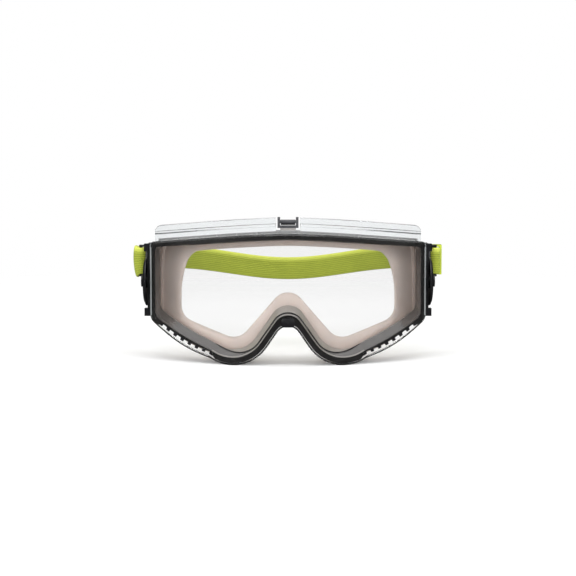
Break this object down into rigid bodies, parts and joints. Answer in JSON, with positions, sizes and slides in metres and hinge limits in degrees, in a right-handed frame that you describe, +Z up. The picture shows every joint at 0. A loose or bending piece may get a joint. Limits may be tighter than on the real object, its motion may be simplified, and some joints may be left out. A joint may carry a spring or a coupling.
{
  "type": "safety goggles",
  "caption": "Panoramic splash goggles with a clear wraparound lens, vented frame, soft face seal and an elastic headband on pivoting clips.",
  "frame": {"origin": "middle of the footprint, level with the lowest edge of the lens lobes that the goggles stand on", "axes": "+X to the right as the goggles' front is seen, +Y from the lens back to the headband, +Z up"},
  "size_m": [0.1913, 0.1596, 0.0868],
  "materials": {
    "clear_polycarbonate": "moulded, coated, very smooth",
    "gasket_rubber": "smooth moulded",
    "smoke_frame_plastic": "glossy moulded",
    "seal_elastomer": "satin, slightly see-through",
    "clear_cover_plastic": "moulded, clear",
    "grey_vent_plastic": "moulded, smoke grey",
    "black_trim_plastic": "fine moulded satin",
    "latch_plastic": "moulded dark grey",
    "headband_elastic": "ribbed woven elastic",
    "tack_thread": "stitched thread"
  },
  "bodies": {
    "goggle": {"lens": "clear_polycarbonate", "lens_gasket": "gasket_rubber", "front_frame": "smoke_frame_plastic", "face_seal": "seal_elastomer", "nose_clip": "black_trim_plastic", "brow_vent_cover": "clear_cover_plastic", "upper_vent_comb": "grey_vent_plastic", "latch_saddle": "latch_plastic", "lower_vent_comb_left": "black_trim_plastic", "lower_vent_comb_right": "black_trim_plastic", "side_bracket_left": "black_trim_plastic", "side_bracket_right": "black_trim_plastic", "bracket_pegs_left": "black_trim_plastic", "bracket_pegs_right": "black_trim_plastic", "pivot_pin_left": "black_trim_plastic", "pivot_pin_right": "black_trim_plastic"},
    "right_clip": {"strap_clip_right": "black_trim_plastic", "headband": "headband_elastic", "bar_tack": "tack_thread"},
    "left_clip": {"strap_clip_left": "black_trim_plastic"},
    "slider": {"strap_slider": "black_trim_plastic"},
    "latch": {"brow_latch": "latch_plastic"}
  },
  "joints": [
    {"name": "right_clip_pivot", "type": "hinge", "parent": "goggle", "child": "right_clip", "pos_m": [0.0875, -0.0262, 0.0458], "axis": [1, 0, 0], "range_deg": [-30, 25]},
    {"name": "left_clip_pivot", "type": "hinge", "parent": "goggle", "child": "left_clip", "pos_m": [-0.0875, -0.0262, 0.0458], "axis": [1, 0, 0], "range_deg": [-30, 25]},
    {"name": "strap_slider_travel", "type": "slide", "parent": "right_clip", "child": "slider", "axis": [0, 1, 0], "range_m": [0, 0.01]},
    {"name": "brow_latch_lift", "type": "hinge", "parent": "goggle", "child": "latch", "pos_m": [0, -0.0717, 0.0842], "axis": [1, 0, 0], "range_deg": [0, 70]}
  ],
  "couplings": [
    {"joint": "left_clip_pivot", "follows": "right_clip_pivot", "ratio": 1}
  ]
}
